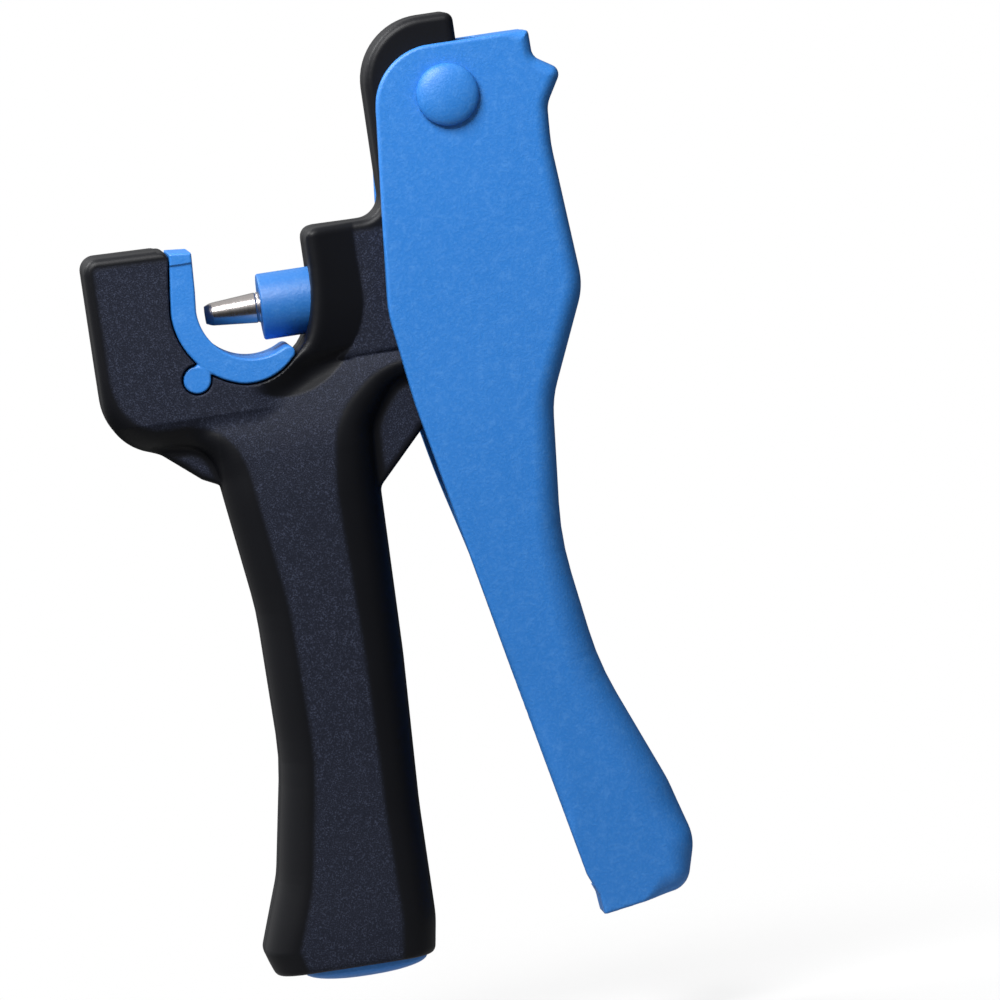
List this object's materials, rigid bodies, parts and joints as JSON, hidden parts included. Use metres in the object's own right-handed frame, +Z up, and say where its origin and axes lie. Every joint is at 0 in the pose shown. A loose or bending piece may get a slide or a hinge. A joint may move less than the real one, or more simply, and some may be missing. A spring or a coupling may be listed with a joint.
{
  "type": "irrigation tube hole punch pliers",
  "caption": "Hand pliers with a sliding steel punch that makes a round hole in plastic irrigation tube held in a curved cradle.",
  "frame": {"origin": "under the middle of the whole tool's bounding box, level with the lowest point of the end cap's dome", "axes": "+Z up the handle towards the lever's axle, +X from the jaw towards the lever, +Y through the thickness towards the rear shell"},
  "size_m": [0.1043, 0.0282, 0.1889],
  "materials": {
    "black_plastic": "fine-textured moulded, glass-filled",
    "blue_plastic": "satin moulded",
    "polished_steel": "ground and polished",
    "zinc_steel": "zinc plated"
  },
  "bodies": {
    "body": {"front_shell": "black_plastic", "rear_shell": "black_plastic", "pipe_cradle": "blue_plastic", "pivot_axle": "zinc_steel", "pivot_cap_front": "blue_plastic", "pivot_cap_rear": "blue_plastic", "spring_washer": "zinc_steel", "return_spring": "polished_steel", "shell_screw_1": "zinc_steel", "shell_screw_2": "zinc_steel", "shell_screw_3": "zinc_steel", "shell_screw_4": "zinc_steel", "shell_screw_5": "zinc_steel", "shell_screw_6": "zinc_steel"},
    "lever": {"lever": "blue_plastic"},
    "plunger": {"plunger": "blue_plastic", "punch": "polished_steel", "push_rod": "zinc_steel", "thrust_button": "black_plastic"},
    "end_cap": {"end_cap": "blue_plastic"}
  },
  "joints": [
    {"name": "lever_pivot", "type": "hinge", "parent": "body", "child": "lever", "pos_m": [0.0248, 0, 0.1728], "axis": [0, -1, 0], "range_deg": [0, 22], "stiffness_Nm_per_rad": 0.6, "springref_deg": 34.38},
    {"name": "plunger_slide", "type": "slide", "parent": "body", "child": "plunger", "axis": [1, 0, 0], "range_m": [0, 0.0137], "deforming": ["return_spring"]},
    {"name": "end_cap_pull", "type": "slide", "parent": "body", "child": "end_cap", "axis": [0, 0, -1], "range_m": [0, 0.014]}
  ],
  "couplings": [
    {"joint": "plunger_slide", "follows": "lever_pivot", "m_per_rad": 0.0354}
  ]
}
